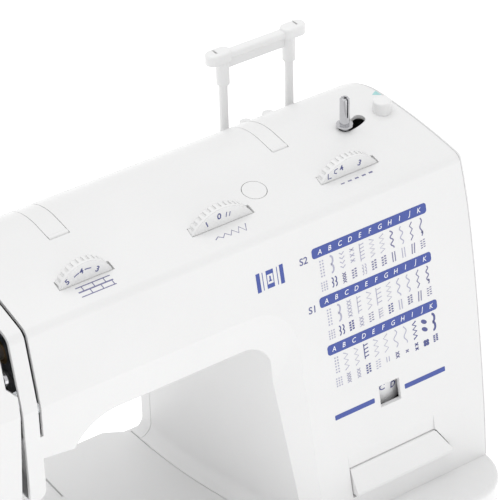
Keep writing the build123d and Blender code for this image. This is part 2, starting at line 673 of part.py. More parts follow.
def take_up_lever():
    angle = radians(5)
    end = (TAKE_UP_Y - TAKE_UP_REACH * cos(angle), TAKE_UP_Z + TAKE_UP_REACH * sin(angle))
    lever = prism_x(link_face(TAKE_UP_Y, TAKE_UP_Z, *end, 4), TAKE_UP_X - 1, TAKE_UP_X + 1)
    lever += rod_x(TAKE_UP_X - 1, TAKE_UP_X + 1, TAKE_UP_Y, TAKE_UP_Z, 6)
    lever -= rod_x(-160, -140, TAKE_UP_Y, TAKE_UP_Z, 3 + RUN)
    return lever - rod_x(-160, -140, *end, 1.6)


def presser_bar():
    return rod_z(84, 224, NEEDLE_X, PRESSER_Y, 3.5)


def presser_foot():
    sole = polygon((8, SOLE_Z + 3.2), (13, SOLE_Z), (46, SOLE_Z), (46, SOLE_Z + 2.4), (12, SOLE_Z + 2.4),
                   (8.8, SOLE_Z + 4.2))
    foot = prism_x(sole, -171, -149)
    foot -= Pos(NEEDLE_X, MECH_Y, SOLE_Z) * extrude(SlotOverall(12, 4), 6, both=True)
    foot -= block(-161.2, -158.8, 0, MECH_Y, 70, 85)
    foot += block(-165, -155, 36.5, 47.5, SOLE_Z + 2, 100)
    return foot - rod_z(84, 110, NEEDLE_X, PRESSER_Y, 3.5)


def presser_lever():
    lever = prism_x(link_face(LIFTER_Y, LIFTER_Z, 90.5, 178, 3.6), -163, -157)
    lever += rod_x(-163, -157, LIFTER_Y, LIFTER_Z, 5.5)
    return lever - rod_x(-170, -150, LIFTER_Y, LIFTER_Z, 2 + RUN)


def lamp():
    return block(-132.5, -122, -10, 14, 185, 204) & casing(0.4)


# ---- controls ----
def dial(name):
    """Thumb wheel standing in its slot, ribbed on the rim, with a plain number face."""
    x, z, r = DIALS[name]
    wheel = rod_y(DIAL_Y0, DIAL_Y1, x, z, r)
    ribs = int(2 * pi * r / 3.5)
    for i in range(ribs):
        rib = Rot(0, 360 / ribs * i, 0) * Pos(0, 0, r) * Box(1.4, DIAL_Y1 - DIAL_Y0 - 2.0, 1.4)
        wheel -= Pos(x, (DIAL_Y0 + DIAL_Y1) / 2 + 1.0, z) * rib
    return wheel - rod_y(-20, 20, x, z, 2.5 + RUN)


def tension_discs():
    x, z, r = DIALS["tension_dial"]
    discs = [rod_y(y, y + 1.0, x, z, 5) - rod_y(0, 20, x, z, 2.5 + RUN) for y in (2.0, 3.6)]
    return Compound(discs)


def pattern_drum():
    drum = rod_z(DRUM_Z0, DRUM_Z1, DRUM_X, DRUM_Y, DRUM_R)
    drum -= rod_z(DRUM_Z0 + 3, DRUM_Z1 + 1, DRUM_X, DRUM_Y, DRUM_R - 2.5)
    drum += rod_z(DRUM_Z0, DRUM_Z1 - 2, DRUM_X, DRUM_Y, 6)
    drum += Pos(DRUM_X, DRUM_Y, SELECTOR_Z) * bevel_gear_solid(MITRE_TEETH, MITRE_R, MITRE_R, 5, 0.0)
    drum += rod_z(SELECTOR_Z + MITRE_R, DRUM_Z0, DRUM_X, DRUM_Y, 9)
    return drum - rod_z(110, DRUM_Z1 + 1, DRUM_X, DRUM_Y, 2.5 + RUN)


def pattern_knob():
    gear = bevel_gear_solid(MITRE_TEETH, MITRE_R, MITRE_R, 5, 0.5)
    knob = Pos(DRUM_X, DRUM_Y, SELECTOR_Z) * Rot(0, 90, 0) * gear
    knob += rod_x(DRUM_X + 9, 169, DRUM_Y, SELECTOR_Z, 4)
    head = rod_x(165.8, 172.5, DRUM_Y, SELECTOR_Z, 16)
    head = fillet(head.edges().filter_by(GeomType.CIRCLE).group_by(Axis.X)[-1], 1.5)
    for i in range(24):
        flute = Rot(15 * i, 0, 0) * Pos(0, 0, 16.5) * Rot(0, 90, 0) * Cylinder(1.1, 20)
        head -= Pos(169, DRUM_Y, SELECTOR_Z) * flute
    return knob + head


def reverse_lever():
    """Push lever lying flush at its top edge, with a lip along its lower edge."""
    outline = polygon((front_y(106.5) + 0.3, 106.5), (front_y(92) - 4.5, 93), (front_y(92) - 4.5, 91),
                      (front_y(90) + 3.5, 89.6), (-43, 93), (-43, 112), (-49, 112), (-53.2, 106.5))
    lever = prism_x(outline, 54, 126.3)
    corner = polygon((127.5, 88), (127.5, 113), (117.9, 113), (117.9, 107.3), (126.3, 93.6), (126.3, 88))
    lever -= prism_y(corner, -90, -30)
    lever -= block(117.9, 128, -58.2, -30, 80, 120)
    return lever + rod_x(54, 117.9, -43, 112, 3)


def carrying_handle():
    layer = arm_layer(0.05) - arm_layer(HANDLE_T)
    handle = layer & handle_region(0)
    y, z = HANDLE_PIVOT
    for x0, x1 in HANDLE_ARMS:
        handle -= block(x0 - 1, x1 + 1, 20, y, 260, 300)
        handle += rod_x(x0, x1, y, z, 2.3)
        handle += rod_x(x0 - 1.8, x1 + 1.8, y, z, 1.5)
    return handle


def winder_arm():
    mid = (SPINDLE_Y + WINDER_PIVOT_Y) / 2
    plan = Pos(SPINDLE_X, mid) * Rot(0, 0, 90) * SlotCenterToCenter(WINDER_PIVOT_Y - SPINDLE_Y, 11.4)
    arm = prism_z(plan, 250, 254) + rod_z(236.5, 251, SPINDLE_X, WINDER_PIVOT_Y, 3)
    arm += rod_z(246.5, 250, SPINDLE_X, WINDER_PIVOT_Y, 5)
    return arm - rod_z(240, 260, SPINDLE_X, SPINDLE_Y, 3 + RUN)


def winder_spindle():
    spindle = rod_z(240, SPINDLE_TOP_Z, SPINDLE_X, SPINDLE_Y, 3)
    spindle = chamfer(spindle.edges().group_by(Axis.Z)[-1], 0.6)
    spindle += rod_z(283.5, 284.7, SPINDLE_X, SPINDLE_Y, 5)
    spindle -= block(SPINDLE_X - 0.45, SPINDLE_X + 0.45, SPINDLE_Y - 8, SPINDLE_Y + 8, 290, 310)
    spindle -= rod_z(288, 310, SPINDLE_X, SPINDLE_Y, 1.3)
    return spindle + rod_z(239, 245, SPINDLE_X, SPINDLE_Y, 6.5)


def winder_stopper(outer):
    post = rod_z(278, 289.5, 142.5, 31, 5.6)
    post = fillet(post.edges().group_by(Axis.Z)[-1], 1.2)
    return post - outer


def guide_bar():
    top = GUIDE_TOP_Z
    x0, x1 = GUIDE_X
    bar = block(x0, x1, GUIDE_Y - 3, GUIDE_Y + 3, top - 7, top - 1.5)
    bar = fillet(bar.edges().filter_by(Axis.X), 1.8)
    bar += block(x0, x1, GUIDE_Y - 1.2, GUIDE_Y + 1.2, top - 13, top - 5)
    for x, way in ((x0, -1), (x1, 1)):
        lug = Pos(x + way * 3, GUIDE_Y, top - 3.5) * extrude(SlotOverall(17, 9.5), 3.5, both=True)
        lug = fillet([e for e in lug.edges() if abs(e.center().Z - top) < 3.6 and e.geom_type != GeomType.LINE
                      and abs(e.center().Z - top + 3.5) > 1], 1.6)
        bar += lug + rod_z(299, top - 4, x, GUIDE_Y, 4.2)
        bar -= block(x + way * 5 - 0.6, x + way * 5 + 0.6, GUIDE_Y - 2, GUIDE_Y + 6, top - 5, top + 1)
        bar -= rod_z(290, top - 6, x, GUIDE_Y, 2.8)
    return bar


def guide_rods():
    return Compound([rod_z(236, GUIDE_TOP_Z - 6, x, GUIDE_Y, 2.8) for x in GUIDE_X])


def spool_pin(x):
    pin = rod_z(224, 266, x, GUIDE_Y, 2.5)
    return pin + rod_z(262.2, 266, x, GUIDE_Y, 4)


def power_inlet():
    body = block(137, 154.6, 40, 64, 18, 38) - block(141, 160, 43, 61, 21, 35)
    for y in (48.0, 56.0):
        body += rod_x(140, 149, y, 28, 1.2)
    return body


def power_switch():
    outline = polygon((146, 24), (153.5, 23.2), (155.2, 30), (156.8, 36.8), (146, 36))
    return prism_y(outline, 8, 26)


def cover_screws():
    screws = []
    for x, z in SCREWS:
        head = rod_y(82, 84.6, x, z, 3.5) - block(x - 2.5, x + 2.5, 84, 86, z - 0.4, z + 0.4)
        screws.append(head + rod_y(71.5, 82, x, z, 1.8))
    return Compound(screws)


def rubber_feet():
    spots = ((-62, -75), (-62, 68), (128, -68), (136, 68))
    return Compound([rod_z(0, 4, x, y, 9) for x, y in spots])


def build():
    outer = casing(0)
    inner = casing(WALL)
    nodes = {
        "front_cover": front_cover(outer, inner),
        "rear_cover": rear_cover(outer, inner),
        "right_cover": right_cover(outer, inner),
        "face_cover": face_cover(outer, inner),
        "bed_casing": bed_casing(),
        "free_arm_cover": free_arm_cover(),
        "base_plate": prism_z(base_plan(WALL + 0.3, TABLE_JOINT_X + WALL + 0.3), 4, 6.5),
        "rubber_feet": rubber_feet(),
        "extension_table": extension_table(),
        "needle_plate": needle_plate(),
        "bobbin_cover": bobbin_cover(),
        "feed_dog": feed_dog(),
        "feed_bar": feed_bar(),
        "hook": hook(),
        "bobbin_case": bobbin_case(),
        "bobbin": bobbin(),
        "lower_shaft": rod_x(-154, 60, HOOK_Y, LOWER_SHAFT_Z, LOWER_SHAFT_R),
        "bevel_gear": bevel_gear(),
        "lower_pulley": belt_pulley(HOOK_Y, LOWER_SHAFT_Z, LOWER_SHAFT_R),
        "main_shaft": main_shaft(),
        "upper_pulley": belt_pulley(MECH_Y, SHAFT_Z, SHAFT_R),
        "crank": crank(),
        "handwheel": handwheel(),
        "clutch_knob": clutch_knob(),
        "drive_belts": drive_belts(),
        "motor_housing": motor_housing(),
        "motor_pulley": motor_pulley(),
        "shaft_bushes": shaft_bushes(),
        "arm_frame": arm_frame(),
        "bed_frame": bed_frame(),
        "needle_bar_frame": needle_bar_frame(),
        "needle_bar": needle_bar(),
        "needle_clamp": needle_clamp(),
        "needle": needle(),
        "connecting_rod": connecting_rod(),
        "take_up_lever": take_up_lever(),
        "presser_bar": presser_bar(),
        "presser_foot": presser_foot(),
        "presser_lever": presser_lever(),
        "lamp": lamp(),
        "tension_discs": tension_discs(),
        "pattern_drum": pattern_drum(),
        "pattern_knob": pattern_knob(),
        "reverse_lever": reverse_lever(),
        "carrying_handle": carrying_handle(),
        "cap_plug": rod_z(272, 300, 35.0, 9.7, 7.3) & outer,
        "winder_arm": winder_arm(),
        "winder_spindle": winder_spindle(),
        "winder_stopper": winder_stopper(outer),
        "guide_rods": guide_rods(),
        "guide_bar": guide_bar(),
        "spool_pin_left": spool_pin(SPOOL_X[0]),
        "spool_pin_right": spool_pin(SPOOL_X[1]),
        "power_inlet": power_inlet(),
        "power_switch": power_switch(),
        "cover_screws": cover_screws(),
    }
    for name in DIALS:
        nodes[name] = dial(name)
    return nodes


os.makedirs("parts", exist_ok=True)
for node, shape in build().items():
    export_step(shape, f"parts/{node}.step")
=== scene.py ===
import json
from math import cos, hypot, pi, radians, sin

import bmesh
import bpy
from mathutils import Matrix, Vector
from mathutils.bvhtree import BVHTree


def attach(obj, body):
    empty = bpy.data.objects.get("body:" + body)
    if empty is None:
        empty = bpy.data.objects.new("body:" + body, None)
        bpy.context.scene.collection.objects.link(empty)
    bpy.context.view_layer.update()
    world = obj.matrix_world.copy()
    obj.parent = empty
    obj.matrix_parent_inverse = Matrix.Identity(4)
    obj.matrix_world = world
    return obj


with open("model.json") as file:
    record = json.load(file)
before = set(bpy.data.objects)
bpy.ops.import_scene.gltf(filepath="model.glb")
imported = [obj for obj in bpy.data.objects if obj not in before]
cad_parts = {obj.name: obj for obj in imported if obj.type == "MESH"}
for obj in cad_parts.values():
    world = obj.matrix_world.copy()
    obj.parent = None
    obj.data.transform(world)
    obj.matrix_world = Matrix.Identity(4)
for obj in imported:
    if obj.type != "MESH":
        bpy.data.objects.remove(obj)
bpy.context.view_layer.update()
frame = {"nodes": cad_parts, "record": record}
nodes = frame["nodes"]
scene = bpy.context.scene
MM = 0.001


# ---- camera ----
CAMERA_PLACE = (-0.6269, -0.9769, 1.0686)
CAMERA_AZIMUTH, CAMERA_ELEVATION, CAMERA_ROLL = 33.7, 35.0, 1.43
FOCAL_LENGTH = 179.28


def look_matrix(azimuth, elevation, roll):
    """Rotation of a camera that looks along an azimuth and down by an elevation."""
    a, e, r = radians(azimuth), radians(elevation), radians(roll)
    forward = Vector((sin(a) * cos(e), cos(a) * cos(e), -sin(e)))
    right = Vector((cos(a), -sin(a), 0))
    down = forward.cross(right)
    rolled_right = cos(r) * right + sin(r) * down
    rolled_down = -sin(r) * right + cos(r) * down
    return Matrix((rolled_right, -rolled_down, -forward)).transposed().to_4x4()


camera_data = bpy.data.cameras.new("camera")
camera = bpy.data.objects.new("camera", camera_data)
scene.collection.objects.link(camera)
camera_data.sensor_width = 36
camera_data.lens = FOCAL_LENGTH
camera_data.clip_start = 0.05
camera_data.clip_end = 50
camera_turn = look_matrix(CAMERA_AZIMUTH, CAMERA_ELEVATION, CAMERA_ROLL)
camera.matrix_world = Matrix.Translation(CAMERA_PLACE) @ camera_turn
scene.camera = camera


# ---- materials ----
def new_material(name):
    material = bpy.data.materials.new(name)
    material.use_nodes = True
    tree = material.node_tree
    shader = tree.nodes["Principled BSDF"]
    return material, tree, shader


def add_node(tree, kind, **values):
    node = tree.nodes.new(kind)
    for key, value in values.items():
        if key in node.inputs:
            node.inputs[key].default_value = value
        else:
            setattr(node, key, value)
    return node


def noise(tree, scale, detail=3.0, roughness=0.55, stretch=None):
    coordinates = add_node(tree, "ShaderNodeTexCoord")
    mapping = add_node(tree, "ShaderNodeMapping")
    if stretch:
        mapping.inputs["Scale"].default_value = stretch
    tree.links.new(coordinates.outputs["Object"], mapping.inputs["Vector"])
    texture = add_node(tree, "ShaderNodeTexNoise", Scale=scale, Detail=detail, Roughness=roughness)
    tree.links.new(mapping.outputs["Vector"], texture.inputs["Vector"])
    return texture


def ramp(tree, source, stops):
    node = add_node(tree, "ShaderNodeValToRGB")
    elements = node.color_ramp.elements
    while len(elements) < len(stops):
        elements.new(0.5)
    for element, (position, color) in zip(elements, stops):
        element.position = position
        element.color = (*color, 1)
    tree.links.new(source, node.inputs["Fac"])
    return node


def remap(tree, source, low, high):
    node = add_node(tree, "ShaderNodeMapRange")
    node.inputs["To Min"].default_value = low
    node.inputs["To Max"].default_value = high
    tree.links.new(source, node.inputs["Value"])
    return node


def scaled(color, factor):
    return tuple(min(1.0, c * factor) for c in color)


def bump_chain(tree, shader, layers, radius):
    """Bevelled edges under a stack of bumps, each given as (height socket, strength, distance)."""
    bevel = add_node(tree, "ShaderNodeBevel", samples=4)
    bevel.inputs["Radius"].default_value = radius
    normal = bevel.outputs["Normal"]
    for height, strength, distance in layers:
        bump = add_node(tree, "ShaderNodeBump", Strength=strength, Distance=distance)
        tree.links.new(height, bump.inputs["Height"])
        tree.links.new(normal, bump.inputs["Normal"])
        normal = bump.outputs["Normal"]
    tree.links.new(normal, shader.inputs["Normal"])


def moulded_plastic(name, color, rough_low, rough_high, coat=0.0, spread=0.012):
    """Injection-moulded plastic: faint flow mottling, fine grain and softened edges."""
    material, tree, shader = new_material(name)
    flow = noise(tree, 18.0, 4.0)
    tones = [(0.3, scaled(color, 1 - spread)), (0.7, scaled(color, 1 + spread))]
    tone = ramp(tree, flow.outputs["Fac"], tones)
    speck = noise(tree, 900.0, 2.0)
    mix = add_node(tree, "ShaderNodeMixRGB", blend_type="MULTIPLY")
    mix.inputs["Fac"].default_value = 0.05
    tree.links.new(tone.outputs["Color"], mix.inputs["Color1"])
    tree.links.new(speck.outputs["Color"], mix.inputs["Color2"])
    tree.links.new(mix.outputs["Color"], shader.inputs["Base Color"])
    smear = noise(tree, 45.0, 5.0)
    gloss = remap(tree, smear.outputs["Fac"], rough_low, rough_high)
    tree.links.new(gloss.outputs["Result"], shader.inputs["Roughness"])
    grain = noise(tree, 1400.0, 2.0)
    ripple = noise(tree, 60.0, 1.0)
    layers = [(grain.outputs["Fac"], 0.25, 0.00004), (ripple.outputs["Fac"], 0.12, 0.0002)]
    bump_chain(tree, shader, layers, 0.0004)
    shader.inputs["Coat Weight"].default_value = coat
    shader.inputs["Coat Roughness"].default_value = 0.12
    return material


def metal(name, color, rough_low, rough_high, stretch, scale=400.0, depth=0.00003):
    """Turned or drawn metal: fine lines along one direction, with smudges in the gloss."""
    material, tree, shader = new_material(name)
    lines = noise(tree, scale, 4.0, 0.6, stretch)
    tone = ramp(tree, lines.outputs["Fac"], [(0.3, scaled(color, 0.9)), (0.7, scaled(color, 1.06))])
    tree.links.new(tone.outputs["Color"], shader.inputs["Base Color"])
    smudge = noise(tree, 70.0, 4.0)
    gloss = remap(tree, smudge.outputs["Fac"], rough_low, rough_high)
    tree.links.new(gloss.outputs["Result"], shader.inputs["Roughness"])
    shader.inputs["Metallic"].default_value = 1.0
    bump_chain(tree, shader, [(lines.outputs["Fac"], 0.2, depth)], 0.0002)
    return material


def rubber(name, color):
    material, tree, shader = new_material(name)
    dust = noise(tree, 160.0, 5.0)
    tone = ramp(tree, dust.outputs["Fac"], [(0.35, scaled(color, 0.85)), (0.7, scaled(color, 1.3))])
    tree.links.new(tone.outputs["Color"], shader.inputs["Base Color"])
    gloss = remap(tree, dust.outputs["Fac"], 0.55, 0.8)
    tree.links.new(gloss.outputs["Result"], shader.inputs["Roughness"])
    fine = noise(tree, 1800.0, 2.0)
    bump_chain(tree, shader, [(fine.outputs["Fac"], 0.4, 0.00006)], 0.0004)
    return material


def clear_plastic(name, color, transmission):
    material, tree, shader = new_material(name)
    haze = noise(tree, 60.0, 3.0)
    tone = ramp(tree, haze.outputs["Fac"], [(0.3, scaled(color, 0.96)), (0.7, color)])
    tree.links.new(tone.outputs["Color"], shader.inputs["Base Color"])
    gloss = remap(tree, haze.outputs["Fac"], 0.06, 0.14)
    tree.links.new(gloss.outputs["Result"], shader.inputs["Roughness"])
    shader.inputs["Transmission Weight"].default_value = transmission
    shader.inputs["IOR"].default_value = 1.49
    fine = noise(tree, 500.0, 2.0)
    bump_chain(tree, shader, [(fine.outputs["Fac"], 0.15, 0.00003)], 0.0003)
    return material


def ink(name, color, spread=0.08):
    """Screen-printed ink with a little unevenness in its cover."""
    material, tree, shader = new_material(name)
    cover = noise(tree, 500.0, 3.0)
    tones = [(0.3, scaled(color, 1 - spread)), (0.7, scaled(color, 1 + spread))]
    tone = ramp(tree, cover.outputs["Fac"], tones)
    tree.links.new(tone.outputs["Color"], shader.inputs["Base Color"])
    gloss = remap(tree, cover.outputs["Fac"], 0.35, 0.5)
    tree.links.new(gloss.outputs["Result"], shader.inputs["Roughness"])
    return material


WHITE = (0.78, 0.78, 0.78)
shell_mat = moulded_plastic("shell_white", WHITE, 0.30, 0.42, coat=0.08)
base_mat = moulded_plastic("base_white", scaled(WHITE, 0.99), 0.30, 0.42, coat=0.08)
control_mat = moulded_plastic("control_white", scaled(WHITE, 1.02), 0.30, 0.42, coat=0.05)
grey_mat = moulded_plastic("grey_plastic", (0.32, 0.33, 0.35), 0.4, 0.55)
# The drum's colour is its own light grey plus painted light: it is set brighter than the white
# shell to lift the shade it sits in behind the window.
drum_painted_light_mat = moulded_plastic("drum_grey_painted_light", (0.88, 0.88, 0.89), 0.4, 0.55)
black_mat = moulded_plastic("black_plastic", (0.02, 0.02, 0.022), 0.35, 0.5, spread=0.15)
clear_mat = clear_plastic("clear_plastic", (0.86, 0.89, 0.92), 0.75)
foot_mat = rubber("rubber_grey", (0.06, 0.06, 0.065))
belt_mat = rubber("belt_rubber", (0.02, 0.02, 0.02))
chrome_mat = metal("polished_steel", (0.62, 0.62, 0.64), 0.08, 0.2, (1, 1, 12))
steel_mat = metal("brushed_steel", (0.45, 0.45, 0.47), 0.25, 0.4, (14, 1, 1))
cast_mat = metal("cast_metal", (0.42, 0.43, 0.45), 0.45, 0.65, (1, 1, 1), 260.0, 0.0001)
bronze_mat = metal("bronze", (0.5, 0.33, 0.14), 0.25, 0.4, (10, 1, 1))
blue_ink = ink("blue_ink", (0.048, 0.080, 0.330))
violet_ink = ink("violet_ink", (0.17, 0.17, 0.31))
pale_ink = ink("pale_ink", (0.40, 0.40, 0.52))
dark_ink = ink("dark_ink", (0.075, 0.085, 0.25))
white_ink = ink("white_ink", (0.9, 0.9, 0.92), 0.03)
teal_ink = ink("teal_ink", (0.35, 0.62, 0.62))

by_slot = {
    "shell_white": shell_mat, "base_white": base_mat, "control_white": control_mat,
    "grey_plastic": grey_mat, "black_plastic": black_mat, "clear_plastic": clear_mat,
    "rubber_grey": foot_mat, "belt_rubber": belt_mat, "polished_steel": chrome_mat,
    "brushed_steel": steel_mat, "cast_metal": cast_mat, "bronze": bronze_mat,
}
for part in frame["record"]["subparts"]:
    data = nodes[part["node"]].data
    if not data.materials:
        data.materials.append(None)
    for i in range(len(data.materials)):
        data.materials[i] = by_slot[part["material_slot"]]
nodes["pattern_drum"].data.materials[0] = drum_painted_light_mat


# ---- printed graphics: thin closed meshes just proud of a plane ----
class Sheet:
    """A drawing plane: millimetre coordinates (u, v) with a small height along its normal."""

    def __init__(self, origin, u_axis, v_axis):
        self.origin = Vector(origin)
        self.u = Vector(u_axis).normalized()
        self.v = Vector(v_axis).normalized()
        self.n = self.u.cross(self.v)

    def at(self, u, v, h):
        return (self.origin + self.u * u + self.v * v + self.n * h) * MM


class Drawing:
    """Collects flat inked shapes on one sheet into one mesh object."""

    def __init__(self, name, sheet, material, body, base=0.02, top=0.08):
        self.name, self.sheet, self.material, self.body = name, sheet, material, body
        self.base, self.top = base, top
        self.bm = bmesh.new()

    def polygon(self, points):
        area = sum(a[0] * b[1] - b[0] * a[1] for a, b in zip(points, points[1:] + points[:1]))
        if area < 0:
            points = points[::-1]
        low = [self.bm.verts.new(self.sheet.at(u, v, self.base)) for u, v in points]
        high = [self.bm.verts.new(self.sheet.at(u, v, self.top)) for u, v in points]
        self.bm.faces.new(low[::-1])
        self.bm.faces.new(high)
        for i in range(len(points)):
            j = (i + 1) % len(points)
            self.bm.faces.new((low[i], low[j], high[j], high[i]))

    def box(self, u0, u1, v0, v1):
        self.polygon([(u0, v0), (u1, v0), (u1, v1), (u0, v1)])

    def pill(self, u0, u1, v, height, r):
        """A bar with rounded corners, centred on a height."""
        points = []
        for cu, cv, start in ((u1 - r, v - height / 2 + r, -90), (u1 - r, v + height / 2 - r, 0),
                              (u0 + r, v + height / 2 - r, 90), (u0 + r, v - height / 2 + r, 180)):
            for k in range(7):
                a = radians(start + 15 * k)
                points.append((cu + r * cos(a), cv + r * sin(a)))
        self.polygon(points)

    def disc(self, u, v, r, squeeze=1.0, turn=0.0):
        points = []
        for k in range(14):
            a = 2 * pi * k / 14
            x, y = r * cos(a), r * squeeze * sin(a)
            points.append((u + x * cos(turn) - y * sin(turn), v + x * sin(turn) + y * cos(turn)))
        self.polygon(points)

    def stroke(self, points, width):
        """A line of even width through the points, as one closed strip."""
        clean = [points[0]]
        for p in points[1:]:
            if hypot(p[0] - clean[-1][0], p[1] - clean[-1][1]) > 1e-4:
                clean.append(p)
        left, right = [], []
        last = len(clean) - 1
        for i, p in enumerate(clean):
            a = clean[max(i - 1, 0)]
            b = clean[min(i + 1, last)]
            du, dv = b[0] - a[0], b[1] - a[1]
            length = max(hypot(du, dv), 1e-6)
            nu, nv = -dv / length * width / 2, du / length * width / 2
            left.append((p[0] + nu, p[1] + nv))
            right.append((p[0] - nu, p[1] - nv))
        rows = []
        for side in (left, right):
            for h in (self.base, self.top):
                rows.append([self.bm.verts.new(self.sheet.at(u, v, h)) for u, v in side])
        left_low, left_high, right_low, right_high = rows
        for i in range(last):
            self.bm.faces.new((left_high[i], right_high[i], right_high[i + 1], left_high[i + 1]))
            self.bm.faces.new((left_low[i + 1], right_low[i + 1], right_low[i], left_low[i]))
            self.bm.faces.new((left_low[i], left_high[i], left_high[i + 1], left_low[i + 1]))
            self.bm.faces.new((right_high[i], right_low[i], right_low[i + 1], right_high[i + 1]))
        self.bm.faces.new((left_low[0], right_low[0], right_high[0], left_high[0]))
        self.bm.faces.new((right_low[last], left_low[last], left_high[last], right_high[last]))

    def text(self, words, u, v, size, slant=0.0, turn=0.0, squeeze=1.0, bold=0.0):
        """Plain lettering centred on a point."""
        curve = bpy.data.curves.new("lettering", "FONT")
        curve.body = words
        curve.size = size
        curve.extrude = (self.top - self.base) / 2
        curve.offset = bold
        curve.resolution_u = 4
        holder = bpy.data.objects.new("lettering", curve)
        scene.collection.objects.link(holder)
        bpy.context.view_layer.update()
        depsgraph = bpy.context.evaluated_depsgraph_get()
        mesh = bpy.data.meshes.new_from_object(holder.evaluated_get(depsgraph))
        bpy.data.objects.remove(holder)
        bpy.data.curves.remove(curve)
        us = [p.co.x for p in mesh.vertices]
        vs = [p.co.y for p in mesh.vertices]
        centre_u, centre_v = (min(us) + max(us)) / 2, (min(vs) + max(vs)) / 2
        middle = (self.base + self.top) / 2
        for p in mesh.vertices:
            x = (p.co.x - centre_u) * squeeze + (p.co.y - centre_v) * slant
            y = p.co.y - centre_v
            x, y = x * cos(turn) - y * sin(turn), x * sin(turn) + y * cos(turn)
            p.co = self.sheet.at(u + x, v + y, middle + p.co.z)
        self.bm.from_mesh(mesh)
        bpy.data.meshes.remove(mesh)

    def drape(self, surface):
        """Lets the drawing down onto a surface below it, keeping its thickness."""
        for p in self.bm.verts:
            height = p.co.z - self.sheet.origin.z * MM
            hit = surface.ray_cast(Vector((p.co.x, p.co.y, 0.4)), Vector((0, 0, -1)))[0]
            p.co.z = hit.z + height

    def done(self):
        """Makes the mesh object and lets it ride on its body."""
        bmesh.ops.remove_doubles(self.bm, verts=self.bm.verts, dist=1e-9)
        bmesh.ops.recalc_face_normals(self.bm, faces=self.bm.faces)
        mesh = bpy.data.meshes.new(self.name)
        self.bm.to_mesh(mesh)
        self.bm.free()
        mesh.materials.append(self.material)
        piece = bpy.data.objects.new(self.name, mesh)
        scene.collection.objects.link(piece)
        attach(piece, self.body)


# The front of the column leans back from a foot line on the bed. Millimetres.
LEAN = radians(12)
FRONT_FOOT_Y, FRONT_FOOT_Z = -65, 75
FRONT = Sheet((0, FRONT_FOOT_Y, FRONT_FOOT_Z), (1, 0, 0), (0, sin(LEAN), cos(LEAN)))
LETTERS = "ABCDEFGHIJK"
COLUMN_0, COLUMN_STEP = 53.9, 7.16
CHART_BARS = ((249, 48.2, 130.7), (218, 48.9, 130.1), (187, 49.7, 130.3))  # height, left, right
WINDOW_BARS = ((48.5, 77.5), (100.0, 130.5))  # left, right of the bars beside the drum window
WINDOW_BAR_Z = 143.7

# The drum stands upright behind the window. The dials share one printed face.
DRUM_X, DRUM_Y, DRUM_RADIUS = 89, -12, 33.2
DRUM_INK_RADIUS = DRUM_RADIUS + 0.02
DIAL_FACE_Y = -5.4
TENSION_X, TENSION_Z, TENSION_ARC_RADIUS = -87, 269.5, 13.4


def up_slope(z):
    """Distance up the leaning front for a height."""
    return (z - FRONT_FOOT_Z) / cos(LEAN)


def wave(u, v0, v1, width, turns, phase=0.0):
    steps = 28
    points = []
    for i in range(steps + 1):
        t = i / steps
        points.append((u + width * sin(2 * pi * turns * t + phase), v0 + (v1 - v0) * t))
    return points


def zigzag(u, v0, v1, width, teeth):
    points = []
    for i in range(teeth + 1):
        side = width if i % 2 else -width
        points.append((u + side, v0 + (v1 - v0) * i / teeth))
    return points


def dots(d, u, v0, v1, columns, rows, size):
    for c in range(columns):
        for r in range(rows):
            x = u + (c - (columns - 1) / 2) * size * 1.9
            y = v0 + (v1 - v0) * (r + 0.5) / rows
            d.box(x - size / 2, x + size / 2, y - size / 2, y + size / 2)


def ladder(d, u, v0, v1, width, rungs, line):
    d.stroke([(u - width, v0), (u - width, v1)], line)
    for i in range(rungs):
        y = v0 + (v1 - v0) * (i + 0.5) / rungs
        d.stroke([(u - width, y), (u + width, y + 0.5)], line)


def chevrons(d, u, v0, v1, width, count, line):
    for i in range(count):
        y = v0 + (v1 - v0) * (i + 0.3) / count
        d.stroke([(u - width, y + 1.4), (u, y), (u + width, y + 1.4)], line)


def hatch(d, u, v0, v1, width, count, line):
    for i in range(count):
        y = v0 + (v1 - v0) * (i + 0.5) / count
        d.stroke([(u - width, y - 0.9), (u + width, y + 0.9)], line)
        d.stroke([(u - width, y + 0.9), (u + width, y - 0.9)], line)


def scallops(d, u, v0, v1, width, count, line):
    """Arcs bulging to one side, like a run of figure threes."""
    step = (v1 - v0) / count
    for i in range(count):
        y = v0 + step * (i + 0.5)
        points = []
        for k in range(9):
            a = radians(-100 + 25 * k)
            points.append((u - width * 0.5 + width * cos(a), y + step * 0.48 * sin(a)))
        d.stroke(points, line)


def bars(d, u, v0, v1, gap, line, lean=0.0):
    for side in (-gap, gap):
        d.stroke([(u + side - lean, v0), (u + side + lean, v1)], line)


def dash_block(d, u, v0, v1, line):
    rows = 4
    for i in range(rows):
        y = v0 + (v1 - v0) * (i + 0.5) / rows
        d.stroke([(u - 1.7, y), (u - 0.3, y)], line)
        d.stroke([(u + 0.3, y + 0.4), (u + 1.7, y + 0.4)], line)


def leaves(d, u, v0, v1, count, r):
    for i in range(count):
        y = v0 + (v1 - v0) * (i + 0.5) / count
        d.disc(u, y, r, 0.55, radians(-35))


